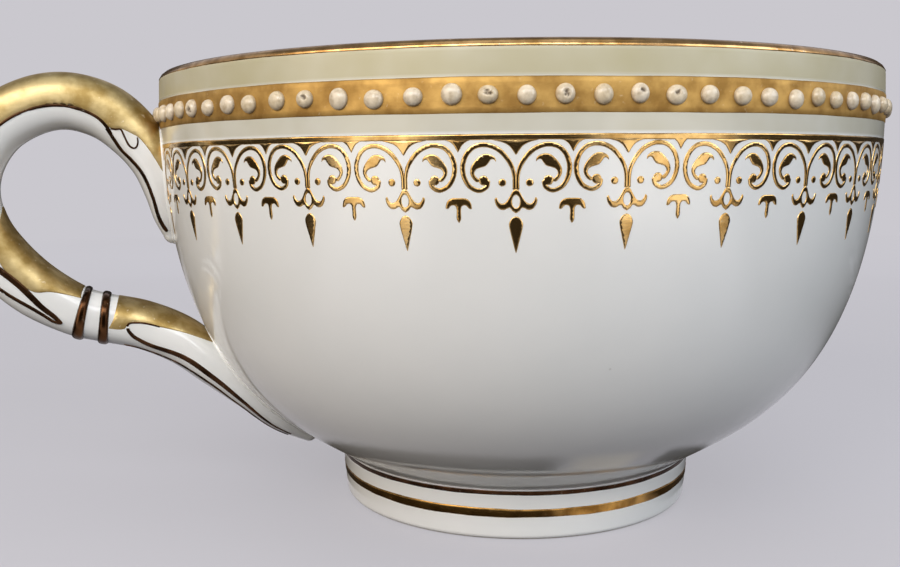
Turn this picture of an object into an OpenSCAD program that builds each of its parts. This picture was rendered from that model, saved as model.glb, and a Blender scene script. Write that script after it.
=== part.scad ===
// Footed porcelain teacup with a loop handle, burnished gilding and raised enamel beads.
// Millimetres, +Z up. The origin is the centre of the foot ring on the table.
// The handle points along -X.

/* [Bowl] */
// Outside diameter at the widest level, just under the rim
cup_d = 92.4; // [76:0.2:112]
// Height from the table to the rim
cup_h = 55.4; // [46:0.2:67]
// Wall thickness at the rim
wall = 2.2; // [1.6:0.1:3]
// Drop from the rim to the widest level
shoulder_drop = 4.8; // [3:0.1:8]
// How much narrower the rim is than the widest level, on the radius
rim_tuck = 0.14; // [0:0.02:0.6]
// Length of the upper wall's downward pull on the outer curve
belly_pull = 35; // [25:1:40]
// Length of the skirt's outward pull on the outer curve
heel_pull = 8.5; // [4:0.5:14]
// Slope of the skirt where it leaves the foot, in degrees from level
skirt_slope = 38; // [25:1:50]
// Length of the upper wall's downward pull on the inner curve
inner_pull = 24.8; // [18:0.2:30]
// Length of the floor's outward pull on the inner curve
floor_pull = 19.8; // [12:0.2:22]
// Radius of the flat middle of the floor inside
floor_flat_r = 14; // [8:0.5:18]
// Thickness of the floor over the foot
floor_t = 3; // [2:0.1:5]

/* [Foot] */
// Outside diameter at the top of the foot ring
foot_d = 47.6; // [40:0.2:58]
// Height of the foot, from the table to the underside of the bowl
foot_h = 6.4; // [5:0.1:8]
// Width of the ring where it stands on the table
foot_w = 3.6; // [2.4:0.1:5]
// How far the ring draws in towards the table, on the radius
foot_taper = 0.5; // [0:0.05:1]
// Radius of the rounded edges that touch the table
foot_round = 0.7; // [0.3:0.05:1.1]
// How far the bowl's skirt laps over the top of the ring
skirt_lap = 0.15; // [0.05:0.05:0.5]

/* [Handle] */
// Thickness of the handle in its own plane, at the top of the arch
handle_t = 6.7; // [5:0.1:8.2]
// Width of the handle across its plane, at the top of the arch
handle_w = 7; // [5.4:0.1:9]
// Reach of the loop's centre line past the widest part of the bowl
handle_reach = 21.8; // [18:0.2:26.2]
// Squareness of the handle's section, where 2 is an ellipse
handle_square = 2.6; // [2:0.1:3.4]
// Height that the two collar rings stand proud of the handle
collar_t = 0.3; // [0.2:0.05:0.6]

/* [Slip joints] */
// Thickness of the slip that joins the foot and the handle to the bowl
slip_t = 0.2; // [0.16:0.02:0.4]

/* [Gilding] */
// Thickness of the raised gilding
gild_t = 0.12; // [0.08:0.01:0.15]
// Height of the gilt line on the lip
rim_line_h = 0.6; // [0.4:0.05:0.9]
// Drop from the rim to the top of the bead band
band_drop = 3.4; // [2.6:0.1:4.4]
// Height of the bead band
band_h = 3.3; // [2.8:0.1:4]
// Drop from the rim to the top of the border line
border_drop = 8.5; // [7.8:0.1:10]
// Height of the border line
border_line_h = 0.53; // [0.3:0.01:0.8]
// Number of scroll motifs round the bowl
motif_count = 28; // [20:2:34]
// Clear gap between the border and the handle's upper root
root_gap = 0.7; // [0.3:0.1:2]
// Height of the upper line on the foot, just under the slip joint
foot_upper_line_h = 0.45; // [0.3:0.05:0.8]
// Drop from the underside of the bowl to the top of the lower line on the foot
foot_lower_line_drop = 2.5; // [1.5:0.1:3]
// Height of the lower line on the foot
foot_lower_line_h = 1; // [0.4:0.05:1.3]

/* [Enamel beads] */
// Number of beads round the band
bead_count = 84; // [60:1:96]
// Diameter of a bead
bead_d = 1.9; // [1.2:0.1:2.4]
// Height of a bead
bead_h = 0.75; // [0.4:0.05:0.9]
// Turn of the first bead from the handle, in degrees
bead_phase = 2.9; // [0:0.1:6]
// Gap between the beaded band and the root of the handle
bead_gap = 0.2; // [0.1:0.05:0.5]

/* [Hidden] */
$fn = 96;

porcelain_colour = "#eceee6";
slip_colour = "#e2e2d8";
gilt_colour = "#b5852c";
enamel_colour = "#f3e8cf";

cup_r = cup_d / 2;
rim_r = cup_r - rim_tuck;
lip_r = wall / 2;
shoulder_z = cup_h - shoulder_drop;
foot_r = foot_d / 2;
skirt_r = foot_r + skirt_lap;
floor_z = foot_h + floor_t;
bowl_h = cup_h - foot_h;
inner_r = cup_r - wall;
tiny = 0.01;
curve_steps = 24;
lip_steps = 10;

// Point at t on the cubic curve with the four poles p
function cubic(p, t) =
    pow(1 - t, 3) * p[0] + 3 * t * pow(1 - t, 2) * p[1] + 3 * t * t * (1 - t) * p[2] + pow(t, 3) * p[3];

// Points on the arc about c, from angle a0 to a1
function arc(c, r, a0, a1, steps) =
    [for (i = [0 : steps]) let (a = a0 + (a1 - a0) * i / steps) c + r * [cos(a), sin(a)]];

function reversed(list) = [for (i = [len(list) - 1 : -1 : 0]) list[i]];

// Outer wall, from the widest level down to the foot
outer_poles = [
    [cup_r, shoulder_z],
    [cup_r, shoulder_z - belly_pull],
    [skirt_r + heel_pull * cos(skirt_slope), foot_h + heel_pull * sin(skirt_slope)],
    [skirt_r, foot_h]
];
outer_curve = [for (i = [0 : curve_steps]) cubic(outer_poles, i / curve_steps)];

// Inner wall, from the widest level down to the flat of the floor
inner_poles = [
    [inner_r, shoulder_z],
    [inner_r, shoulder_z - inner_pull],
    [floor_flat_r + floor_pull, floor_z],
    [floor_flat_r, floor_z]
];
inner_curve = [for (i = [0 : curve_steps]) cubic(inner_poles, i / curve_steps)];

// Radius of the outer wall at the height z
wall_table = concat([[cup_h, rim_r]], [for (p = outer_curve) [p[1], p[0]]]);
function wall_r(z) = lookup(z, wall_table);

// Heights of the wall's own corners between z0 and z1, with both ends, rising
function wall_levels(z0, z1) = concat(
    [z0],
    [for (row = reversed(wall_table)) if (row[0] > z0 + tiny && row[0] < z1 - tiny) row[0]],
    [z1]
);

// Section of a skin on the outer wall between the heights z0 and z1, from t0 to t1 off the wall
module wall_skin(z0, z1, t0, t1) {
    levels = wall_levels(z0, z1);
    polygon(concat(
        [for (z = levels) [wall_r(z) + t1, z]],
        [for (z = reversed(levels)) [wall_r(z) + t0, z]]
    ));
}

// Solid of the bowl's outside, filled, and grown outward by t
module bowl_blank(t) {
    levels = wall_levels(foot_h, cup_h);
    rotate_extrude()
        polygon(concat([[0, foot_h]], [for (z = levels) [wall_r(z) + t, z]], [[0, cup_h]]));
}

module bowl() {
    lip_centre = [rim_r - lip_r, cup_h - lip_r];
    lip = arc(lip_centre, lip_r, 0, 180, lip_steps);
    color(porcelain_colour)
        rotate_extrude()
            polygon(concat([[0, foot_h]], reversed(outer_curve), lip, inner_curve, [[0, floor_z]]));
}

// Foot: a ring with a slight draft, rounded where it stands, joined to the bowl by a film of slip
foot_top = foot_h - slip_t;
function foot_outer_r(z) = foot_r - foot_taper * (1 - z / foot_top);
foot_inner_r = foot_r - foot_taper - foot_w;

module foot_ring() {
    outer_round = [foot_outer_r(foot_round) - foot_round, foot_round];
    inner_round = [foot_inner_r + foot_round, foot_round];
    color(porcelain_colour)
        rotate_extrude()
            polygon(concat(
                [[foot_inner_r, foot_top]],
                arc(inner_round, foot_round, 180, 270, lip_steps),
                arc(outer_round, foot_round, 270, 360, lip_steps),
                [[foot_r, foot_top]]
            ));
}

module foot_slip_joint() {
    color(slip_colour)
        translate([0, 0, foot_top])
            difference() {
                cylinder(h = slip_t, r = foot_r);
                translate([0, 0, -slip_t])
                    cylinder(h = 3 * slip_t, r = foot_inner_r);
            }
}

// Line round the outside of the foot, with its top at the height z1
module foot_line(z1, line_h) {
    z0 = z1 - line_h;
    color(gilt_colour)
        rotate_extrude()
            polygon([
                [foot_outer_r(z0), z0],
                [foot_outer_r(z0) + gild_t, z0],
                [foot_outer_r(z1) + gild_t, z1],
                [foot_outer_r(z1), z1]
            ]);
}

module gilt_foot_upper_line() {
    foot_line(foot_top, foot_upper_line_h);
}

module gilt_foot_lower_line() {
    foot_line(foot_h - foot_lower_line_drop, foot_lower_line_h);
}

// Handle: one cast loop whose two roots run out as leaf tongues down the wall of the bowl.
// Each row is how far the centre line stands off the wall, its height as a share of the bowl's,
// and the section's thickness and width as shares of those at the top of the arch.
upper_root = [
    [0, 0.604, 0.36, 0.5],
    [0.1, 0.648, 0.54, 0.86],
    [0.3, 0.71, 0.66, 1.12],
    [1, 0.785, 0.84, 1.2],
    [2.9, 0.848, 0.94, 1.12],
    [6.1, 0.905, 1, 1.05]
];
// Rows of the free loop give the stand-off from the widest part of the bowl as a share of the reach
loop_rows = [
    [0.472, 0.931, 1, 1],
    [0.66, 0.918, 1, 0.98],
    [0.844, 0.869, 1, 0.96],
    [0.963, 0.792, 1, 0.95],
    [1, 0.706, 1, 0.95],
    [0.954, 0.62, 1, 0.95],
    [0.844, 0.543, 1, 0.96],
    [0.688, 0.473, 0.98, 0.98],
    [0.49, 0.418, 0.9, 1],
    [0.339, 0.396, 0.87, 1.02],
    [0.128, 0.372, 0.87, 1.12]
];
lower_root = [
    [3.6, 0.327, 0.86, 1.32],
    [1.7, 0.262, 0.78, 1.46],
    [0.7, 0.188, 0.62, 1.42],
    [0.5, 0.116, 0.54, 1.14],
    [0.4, 0.062, 0.36, 0.62]
];
collar_loop_row = 8;
collar_row = len(upper_root) + collar_loop_row;
lower_first = len(upper_root) + len(loop_rows);
ring_steps = 3;
side_count = 20;

function on_wall(row) = let (z = foot_h + bowl_h * row[1]) [-wall_r(z) - row[0], z];
function off_wall(row) = [-cup_r - handle_reach * row[0], foot_h + bowl_h * row[1]];
function section(row) = [handle_t / 2 * row[2], handle_w / 2 * row[3]];

centre_line = concat(
    [for (row = upper_root) on_wall(row)],
    [for (row = loop_rows) off_wall(row)],
    [for (row = lower_root) on_wall(row)]
);
sections = [for (row = concat(upper_root, loop_rows, lower_root)) section(row)];

// Point at t between the rows i and i + 1 of a smooth curve through a list
function through(list, i, t) =
    let (
        last = len(list) - 1,
        a = list[max(i - 1, 0)],
        b = list[i],
        c = list[min(i + 1, last)],
        d = list[min(i + 2, last)]
    )
    b + 0.5 * t * (c - a + t * (2 * a - 5 * b + 4 * c - d + t * (3 * (b - c) + d - a)));

function smooth(list) = concat(
    [for (i = [0 : len(list) - 2], k = [0 : ring_steps - 1]) through(list, i, k / ring_steps)],
    [list[len(list) - 1]]
);

handle_line = smooth(centre_line);
handle_sizes = smooth(sections);
ring_last = len(handle_line) - 1;

function along(i) =
    let (d = handle_line[min(i + 1, ring_last)] - handle_line[max(i - 1, 0)])
    d / norm(d);
function squared(s) = sign(s) * pow(abs(s), 2 / handle_square);

// Point of ring i at side j of the handle, grown by g
function skin_point(i, j, g) =
    let (
        a = 360 * j / side_count,
        t = along(i),
        out = (handle_sizes[i][0] + g) * squared(sin(a)),
        side = (handle_sizes[i][1] + g) * squared(cos(a)),
        c = handle_line[i]
    )
    [c[0] + t[1] * out, side, c[1] - t[0] * out];

function quad(a, b, c, d) = [[a, b, c], [a, c, d]];
function flat(lists) = [for (list = lists, item = list) item];

// The whole loop, closed at both tips, before the bowl is cut out of it
module handle_sweep() {
    n = side_count;
    points = [for (i = [0 : ring_last], j = [0 : n - 1]) skin_point(i, j, 0)];
    sides = flat([
        for (i = [0 : ring_last - 1], j = [0 : n - 1])
            let (k = (j + 1) % n)
            quad(i * n + j, i * n + k, (i + 1) * n + k, (i + 1) * n + j)
    ]);
    first_cap = [for (j = [1 : n - 2]) [0, j + 1, j]];
    last_cap = [for (j = [1 : n - 2]) [ring_last * n, ring_last * n + j, ring_last * n + j + 1]];
    polyhedron(points, concat(sides, first_cap, last_cap));
}

// Thin strip on the handle from ring i0 to i1 and from side j0 to j1, t thick
module handle_strip(i0, i1, j0, j1, t) {
    ni = i1 - i0;
    nj = j1 - j0;
    layer = (ni + 1) * (nj + 1);
    points = [for (g = [0, t], i = [i0 : i1], j = [j0 : j1]) skin_point(i, j, g)];
    function under(i, j) = i * (nj + 1) + j;
    function over(i, j) = layer + under(i, j);
    faces = flat(concat(
        [for (i = [0 : ni - 1], j = [0 : nj - 1])
            quad(over(i, j), over(i, j + 1), over(i + 1, j + 1), over(i + 1, j))],
        [for (i = [0 : ni - 1], j = [0 : nj - 1])
            quad(under(i, j), under(i + 1, j), under(i + 1, j + 1), under(i, j + 1))],
        [for (i = [0 : ni - 1]) quad(under(i, 0), over(i, 0), over(i + 1, 0), under(i + 1, 0))],
        [for (i = [0 : ni - 1]) quad(under(i, nj), under(i + 1, nj), over(i + 1, nj), over(i, nj))],
        [for (j = [0 : nj - 1]) quad(under(0, j), under(0, j + 1), over(0, j + 1), over(0, j))],
        [for (j = [0 : nj - 1]) quad(under(ni, j), over(ni, j), over(ni, j + 1), under(ni, j + 1))]
    ));
    polyhedron(points, faces);
}

// Closed ring round the handle from ring i0 to i1, t thick
module handle_collar(i0, i1, t) {
    n = side_count;
    points = [for (g = [0, t], i = [i0, i1], j = [0 : n - 1]) skin_point(i, j, g)];
    faces = flat([
        for (j = [0 : n - 1])
            let (k = (j + 1) % n)
            concat(
                quad(2 * n + j, 2 * n + k, 3 * n + k, 3 * n + j),
                quad(j, n + j, n + k, k),
                quad(j, k, 2 * n + k, 2 * n + j),
                quad(n + j, 3 * n + j, 3 * n + k, n + k)
            )
    ]);
    polyhedron(points, faces);
}

band_top = cup_h - band_drop;
band_bottom = band_top - band_h;

// Ring of free room round the beaded band, which the handle's root is cut back to
module bead_room() {
    rotate_extrude()
        wall_skin(band_bottom - bead_gap, band_top + bead_gap, 0, gild_t + bead_h + bead_gap);
}

module handle() {
    color(porcelain_colour)
        difference() {
            handle_sweep();
            bowl_blank(slip_t);
            bead_room();
        }
}

// Slip under a root: the part of the loop that lies within the slip's thickness of the wall,
// looked for within slip_span degrees of the handle and on its own side of the gap between the roots
slip_span = 30;
root_split = 0.5;
root_split_z = foot_h + bowl_h * root_split;

module slip_pad(z0, z1) {
    color(slip_colour)
        intersection() {
            handle_sweep();
            rotate([0, 0, 180 - slip_span])
                rotate_extrude(angle = 2 * slip_span)
                    wall_skin(z0, z1, 0, slip_t);
        }
}

module upper_slip_joint() {
    slip_pad(root_split_z, band_bottom - bead_gap);
}

module lower_slip_joint() {
    slip_pad(foot_h + tiny, root_split_z);
}

// Gilding on the handle. Sides count round the section from the +Y side, over the outside of the loop.
// The arch is gilded from its root, clear of the bead band, to the far end of the loop.
collar_ring = collar_row * ring_steps;
arch_root_row = 3;
far_loop_row = 4;
arch_first = arch_root_row * ring_steps;
arch_last = (len(upper_root) + far_loop_row) * ring_steps;
root_top_first = collar_ring + 3;
root_top_last = (lower_first + 1) * ring_steps;
edge_lift = 1;
half_turn = side_count / 2;

module gilt_handle_arch() {
    color(gilt_colour)
        difference() {
            handle_strip(arch_first, arch_last, -edge_lift, half_turn + edge_lift, gild_t);
            bowl_blank(slip_t);
            bead_room();
        }
}

module gilt_handle_lower_arm() {
    color(gilt_colour)
        handle_strip(arch_last, collar_ring, half_turn - edge_lift, side_count + edge_lift, gild_t);
}

module gilt_handle_collars() {
    color(gilt_colour) {
        handle_collar(collar_ring, collar_ring + 1, collar_t);
        handle_collar(collar_ring + 2, collar_ring + 3, collar_t);
    }
}

module gilt_handle_root_top() {
    color(gilt_colour)
        difference() {
            handle_strip(
                root_top_first, root_top_last, half_turn + edge_lift, side_count - edge_lift, gild_t
            );
            bowl_blank(slip_t);
        }
}

// Gilt lines along both edges of a leaf tongue, one side of the section wide
upper_edge_side = -3;
lower_edge_side = 2;

module leaf_edges(i0, i1, side) {
    color(gilt_colour)
        difference() {
            union() {
                handle_strip(i0, i1, side, side + 1, gild_t);
                handle_strip(i0, i1, half_turn - side - 1, half_turn - side, gild_t);
            }
            bowl_blank(slip_t);
        }
}

module gilt_upper_leaf_edges() {
    leaf_edges(1, arch_first, upper_edge_side);
}

module gilt_lower_leaf_edges() {
    leaf_edges(collar_ring + 4, ring_last - 1, lower_edge_side);
}

// Gilt bands and beads round the upper wall
module gilt_rim_line() {
    lip_centre = [rim_r - lip_r, cup_h - lip_r];
    low = asin(1 - rim_line_h / lip_r);
    color(gilt_colour)
        rotate_extrude()
            polygon(concat(
                arc(lip_centre, lip_r + gild_t, low, 180 - low, lip_steps),
                arc(lip_centre, lip_r, 180 - low, low, lip_steps)
            ));
}

module gilt_bead_band() {
    color(gilt_colour)
        rotate_extrude()
            wall_skin(band_bottom, band_top, 0, gild_t);
}

module enamel_beads() {
    bead_z = (band_top + band_bottom) / 2;
    dome_r = (pow(bead_d / 2, 2) + pow(bead_h, 2)) / (2 * bead_h);
    seat = max(wall_r(bead_z + bead_d / 2), wall_r(bead_z), wall_r(bead_z - bead_d / 2)) + gild_t;
    color(enamel_colour)
        for (i = [0 : bead_count - 1])
            rotate([0, 0, 180 + bead_phase + 360 * i / bead_count])
                translate([seat, 0, bead_z])
                    rotate([0, 90, 0])
                        rotate_extrude($fn = 48)
                            intersection() {
                                translate([0, bead_h - dome_r])
                                    circle(r = dome_r);
                                square([bead_d, bead_h]);
                            }
}

// Scroll border. Motif points are [across, below the border line], drawn for a pitch of motif_width.
motif_width = 10.37;
motif_pitch = 360 / motif_count;
motif_stretch = 2 * PI * cup_r / motif_count / motif_width;
border_top = cup_h - border_drop;
border_z = border_top - border_line_h;
border_depth = 10.6;
motif_span = 1.05;
root_clear = handle_w / 2 * upper_root[arch_root_row][3] + root_gap;
root_angle = asin(root_clear / cup_r);

// The motifs sit half a pitch off the handle, so a tassel would fall behind it
function motif_angle(i) = 180 + motif_pitch * (i + 0.5);
function from_handle(a) = min(abs(a - 180), abs(a - 540));
function across_angle(u) = u * motif_stretch / cup_r * 180 / PI;
// True where a piece between the across values u0 and u1 of motif i stays clear of the handle's root
function is_clear(i, u0, u1) =
    let (a = motif_angle(i), lo = a + across_angle(u0), hi = a + across_angle(u1))
    min(from_handle(lo), from_handle(hi)) > root_angle && (lo - 540) * (hi - 540) > 0;

// Places a flat motif outline on the wall as a thin conforming solid at motif i
module on_border(i) {
    half = motif_pitch * motif_span;
    rotate([0, 0, motif_angle(i)])
        intersection() {
            rotate([0, 0, -half])
                rotate_extrude(angle = 2 * half)
                    wall_skin(border_z - border_depth, border_z, 0, gild_t);
            translate([cup_r / 2, 0, border_z])
                rotate([90, 0, 90])
                    linear_extrude(height = cup_r)
                        children();
        }
}

function stretched(list) = [for (p = list) [p[0] * motif_stretch, -p[1]]];
function mirrored(list) = [for (p = reversed(list)) [-p[0], p[1]]];
function both_halves(list) = concat(stretched(list), stretched(mirrored(list)));

// Outline of a stroke of changing width along a smooth line: rows are [across, below, width]
function stroke(rows) =
    let (
        n = (len(rows) - 1) * 2,
        line = concat(
            [for (i = [0 : len(rows) - 2], k = [0, 0.5]) through(rows, i, k)],
            [rows[len(rows) - 1]]
        ),
        sides = [
            for (i = [0 : n])
                let (
                    d = line[min(i + 1, n)] - line[max(i - 1, 0)],
                    len_d = norm([d[0], d[1]]),
                    side = [d[1], -d[0]] / len_d * line[i][2] / 2
                )
                [[line[i][0] + side[0], line[i][1] + side[1]], [line[i][0] - side[0], line[i][1] - side[1]]]
        ]
    )
    concat([for (s = sides) s[0]], reversed([for (s = sides) s[1]]));

scroll_rows = [
    [0.3, 4.5, 0.36], [0.36, 3.15, 0.36], [0.85, 1.5, 0.4], [2.45, 0.42, 0.46], [4.2, 1.1, 0.46],
    [4.78, 2.5, 0.46], [4.35, 3.9, 0.46], [3.4, 4.4, 0.42], [2.7, 3.9, 0.5], [3.05, 3.4, 0.7]
];
leaf_points = [
    [1.75, 1.75], [2.3, 1.2], [3, 1.15], [3.6, 1.6], [3.85, 2.4],
    [3.7, 2.95], [3.45, 2.4], [3.1, 2], [2.6, 2.05], [2.15, 2.2]
];
fleuron_half = [
    [0.2, 4.65], [0.5, 4.95], [0.8, 5.4], [1.3, 5.55], [1.7, 5.2],
    [2, 5.5], [1.75, 6], [1.2, 6.15], [0.7, 5.95], [0.3, 6.35]
];
spear_half = [[0.3, 6.9], [0.6, 7.35], [0.42, 8.15], [0.15, 9.3], [0.03, 10.2]];
tassel_half = [
    [0.5, 5.25], [1.05, 5.55], [1.15, 6], [0.85, 5.95], [0.55, 5.7],
    [0.2, 5.8], [0.2, 6.8], [0.28, 7.2], [0.06, 7.6]
];
dart_half = [[1.15, 0], [0.3, 0.45], [0.06, 1.1]];
small_dart_half = [[0.7, 0], [0.2, 0.3], [0.05, 0.65]];
dot_place = [1.22, 3.85];
dot_r = 0.33;
oval_place = 5.45;
oval_size = [0.34, 0.55];
oval_step = 30;
half_pitch = motif_width / 2;

module gilt_border_line() {
    color(gilt_colour)
        rotate([0, 0, 180 + root_angle])
            rotate_extrude(angle = 360 - 2 * root_angle)
                wall_skin(border_z, border_top, 0, gild_t);
}

// A symmetrical outline at the across value u of every motif that stays clear of the handle
module each_centred(half, u) {
    reach = max([for (p = half) p[0]]);
    color(gilt_colour)
        for (i = [0 : motif_count - 1])
            if (is_clear(i, u - reach, u + reach))
                on_border(i)
                    translate([u * motif_stretch, 0])
                        polygon(both_halves(half));
}

// A one-sided outline and its mirror image at every motif that stays clear of the handle
module each_pair(outline) {
    near = min([for (p = outline) p[0]]);
    far = max([for (p = outline) p[0]]);
    color(gilt_colour)
        for (i = [0 : motif_count - 1]) {
            if (is_clear(i, near, far))
                on_border(i)
                    polygon(stretched(outline));
            if (is_clear(i, -far, -near))
                on_border(i)
                    polygon(stretched(mirrored(outline)));
        }
}

module gilt_darts() {
    each_centred(dart_half, 0);
    each_centred(small_dart_half, half_pitch);
}

module gilt_scrolls() {
    each_pair(stroke(scroll_rows));
}

module gilt_leaves() {
    each_pair(leaf_points);
}

module gilt_dots() {
    color(gilt_colour)
        for (i = [0 : motif_count - 1], side = [-1, 1])
            if (is_clear(i, side * dot_place[0] - dot_r, side * dot_place[0] + dot_r))
                on_border(i)
                    translate([side * dot_place[0] * motif_stretch, -dot_place[1]])
                        circle(r = dot_r);
}

module gilt_fleurons() {
    oval = [
        for (a = [0 : oval_step : 360 - oval_step])
            [oval_size[0] * cos(a) * motif_stretch, oval_size[1] * sin(a) - oval_place]
    ];
    reach = max([for (p = fleuron_half) p[0]]);
    color(gilt_colour)
        for (i = [0 : motif_count - 1])
            if (is_clear(i, -reach, reach))
                on_border(i)
                    difference() {
                        polygon(both_halves(fleuron_half));
                        polygon(oval);
                    }
}

module gilt_spear_drops() {
    each_centred(spear_half, 0);
}

module gilt_tassel_drops() {
    each_centred(tassel_half, half_pitch);
}

bowl();
foot_ring();
handle();
foot_slip_joint();
upper_slip_joint();
lower_slip_joint();
gilt_rim_line();
gilt_bead_band();
enamel_beads();
gilt_border_line();
gilt_darts();
gilt_scrolls();
gilt_leaves();
gilt_dots();
gilt_fleurons();
gilt_spear_drops();
gilt_tassel_drops();
gilt_foot_upper_line();
gilt_foot_lower_line();
gilt_handle_arch();
gilt_handle_lower_arm();
gilt_handle_collars();
gilt_handle_root_top();
gilt_upper_leaf_edges();
gilt_lower_leaf_edges();
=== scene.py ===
import math

import bmesh
import bpy
import numpy as np
from mathutils import Matrix, Vector
from mathutils.geometry import delaunay_2d_cdt


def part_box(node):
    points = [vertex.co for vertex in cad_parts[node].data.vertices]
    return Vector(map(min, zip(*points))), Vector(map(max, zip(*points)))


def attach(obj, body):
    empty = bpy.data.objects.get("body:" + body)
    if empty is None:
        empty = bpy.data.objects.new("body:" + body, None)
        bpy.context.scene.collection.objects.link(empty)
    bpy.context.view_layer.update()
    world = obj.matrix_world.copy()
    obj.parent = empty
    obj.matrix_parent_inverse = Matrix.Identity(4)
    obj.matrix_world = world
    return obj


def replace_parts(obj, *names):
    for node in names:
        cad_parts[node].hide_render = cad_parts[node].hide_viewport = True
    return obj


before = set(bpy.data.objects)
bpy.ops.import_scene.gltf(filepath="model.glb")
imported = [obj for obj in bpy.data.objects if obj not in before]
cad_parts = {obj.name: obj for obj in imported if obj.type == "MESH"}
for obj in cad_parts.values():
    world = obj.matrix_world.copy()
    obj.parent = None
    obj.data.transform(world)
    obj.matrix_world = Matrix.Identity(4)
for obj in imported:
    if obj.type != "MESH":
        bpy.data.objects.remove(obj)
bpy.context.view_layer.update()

# Camera. It stands close in front of the cup, level with the middle of the border,
# and turned so that the handle runs off the left edge of the picture.
MM = 0.001
picture_width_px = 900
focal_length_px = 985.4
camera_range = 135.7
camera_height = 43.9
camera_turn = math.radians(-20)
camera_pan = math.radians(3.72)
camera_tilt = math.radians(-6.73)
camera_roll = math.radians(-0.4)
camera = bpy.data.objects.new("camera", bpy.data.cameras.new("camera"))
bpy.context.scene.collection.objects.link(camera)
camera.data.sensor_width = 36
camera.data.lens = camera.data.sensor_width * focal_length_px / picture_width_px
camera.data.clip_start = 5 * MM
camera_spot = Matrix.Rotation(camera_turn, 4, "Z") @ Vector((0, -camera_range * MM, camera_height * MM))
camera.matrix_world = (
    Matrix.Translation(camera_spot)
    @ Matrix.Rotation(camera_turn + camera_pan, 4, "Z")
    @ Matrix.Rotation(math.pi / 2 + camera_tilt, 4, "X")
    @ Matrix.Rotation(camera_roll, 4, "Z")
)
bpy.context.scene.camera = camera


# Studio floor. A matte pale sweep that rises all round like a shallow dish, so that it has no edge
# from any side. Seen from below it lets the eye through to the underside of the foot, and an opening
# that the foot covers lets light in there.
def srgb(code):
    """Linear RGBA of an sRGB hex colour."""
    parts = [int(code[i:i + 2], 16) / 255 for i in (1, 3, 5)]
    return [*(c / 12.92 if c <= 0.04045 else ((c + 0.055) / 1.055) ** 2.4 for c in parts), 1]


def add(tree, kind, inputs=None, out=0, **settings):
    """Adds a shader node, sets its options, and gives each input a value or links it to a socket. Returns
    the output asked for, or the node where that is None."""
    node = tree.nodes.new("ShaderNode" + kind)
    for option, value in settings.items():
        setattr(node, option, value)
    for socket, value in (inputs or {}).items():
        if isinstance(value, bpy.types.NodeSocket):
            tree.links.new(value, node.inputs[socket])
        else:
            node.inputs[socket].default_value = value
    return node if out is None else node.outputs[out]


def new_material(name):
    """An empty material and its node tree."""
    material = bpy.data.materials.new(name)
    material.use_nodes = True
    tree = material.node_tree
    tree.nodes.clear()
    return material, tree


def revolve(profile, turns):
    """Points and faces of an (r, z) profile turned about Z. Points on the axis are single."""
    angles = np.arange(turns) * 2 * np.pi / turns
    points, rows = [], []
    for r, z in profile:
        spin = angles if r > 1e-9 else angles[:1]
        rows.append([len(points) + k for k in range(len(spin))])
        points += [(r * math.cos(a), r * math.sin(a), z) for a in spin]
    faces = []
    for low, high in zip(rows, rows[1:]):
        for k in range(turns):
            n = k + 1
            corners = [low[k % len(low)], low[n % len(low)], high[n % len(high)], high[k % len(high)]]
            faces.append(list(dict.fromkeys(corners)))
    return points, [f for f in faces if len(f) > 2]


def grid_faces(rows, columns, wrap_rows=False, wrap_columns=False):
    """Quads of a grid of points, listed row by row, closed each way that wraps."""
    down = rows if wrap_rows else rows - 1
    across = columns if wrap_columns else columns - 1
    return [
        (i * columns + j, i * columns + (j + 1) % columns,
         (i + 1) % rows * columns + (j + 1) % columns, (i + 1) % rows * columns + j)
        for i in range(down) for j in range(across)]


def make_piece(name, points, faces, material, closed=True, marks=None):
    """A smooth-shaded object from points in millimetres, with its faces turned outward if it is closed.
    Marks are named values at its points, which its material reads."""
    mesh = bpy.data.meshes.new(name)
    mesh.from_pydata([tuple(float(c) * MM for c in p) for p in points], [], faces)
    mesh.validate()
    if closed:
        shell = bmesh.new()
        shell.from_mesh(mesh)
        bmesh.ops.recalc_face_normals(shell, faces=shell.faces)
        shell.to_mesh(mesh)
        shell.free()
    mesh.shade_smooth()
    mesh.materials.append(material)
    for mark, values in (marks or {}).items():
        mesh.attributes.new(mark, "FLOAT", "POINT").data.foreach_set("value", values)
    piece = bpy.data.objects.new(name, mesh)
    bpy.context.scene.collection.objects.link(piece)
    return piece


floor_opening = 22
floor_radius = 620
sweep_radius = 330
wall_height = 900
floor_turns = 96
shadow_reach = 180
even_reach = 560
floor_paint, tree = new_material("matte_studio_paint")
# The sweep stays pale where it is seen, straight or in a reflection, and keeps the cup's shadow near by.
path = add(tree, "LightPath", out=None).outputs
seen = add(tree, "Math", {0: path["Is Camera Ray"], 1: path["Is Glossy Ray"]})
seen = add(tree, "Math", {0: seen, 1: path["Is Transmission Ray"]})
greys = {0: seen, 6: srgb("#3a393c"), 7: srgb("#c6c5cb")}
grey = add(tree, "Mix", greys, out=2, data_type="RGBA")
paint = add(tree, "BsdfPrincipled", {"Base Color": grey, "Roughness": 0.85})
glow = add(tree, "Emission", {"Color": srgb("#cac8ce")})
place = add(tree, "TexCoord", out="Object")
reach = add(tree, "VectorMath", {0: place}, out="Value", operation="LENGTH")
even = add(tree, "MapRange", {0: reach, 1: shadow_reach * MM, 2: even_reach * MM, 3: 0.6, 4: 1})
share = add(tree, "Math", {0: seen, 1: even}, operation="MULTIPLY")
pale = add(tree, "MixShader", {0: share, 1: paint, 2: glow})
clear = add(tree, "BsdfTransparent")
from_below = add(tree, "NewGeometry", out="Backfacing")
both = add(tree, "MixShader", {0: from_below, 1: pale, 2: clear})
add(tree, "OutputMaterial", {"Surface": both}, out=None)
bend = [math.radians(a) for a in range(0, 91, 5)]
sweep = [(floor_radius + sweep_radius * math.sin(a), sweep_radius * (1 - math.cos(a))) for a in bend]
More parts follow.
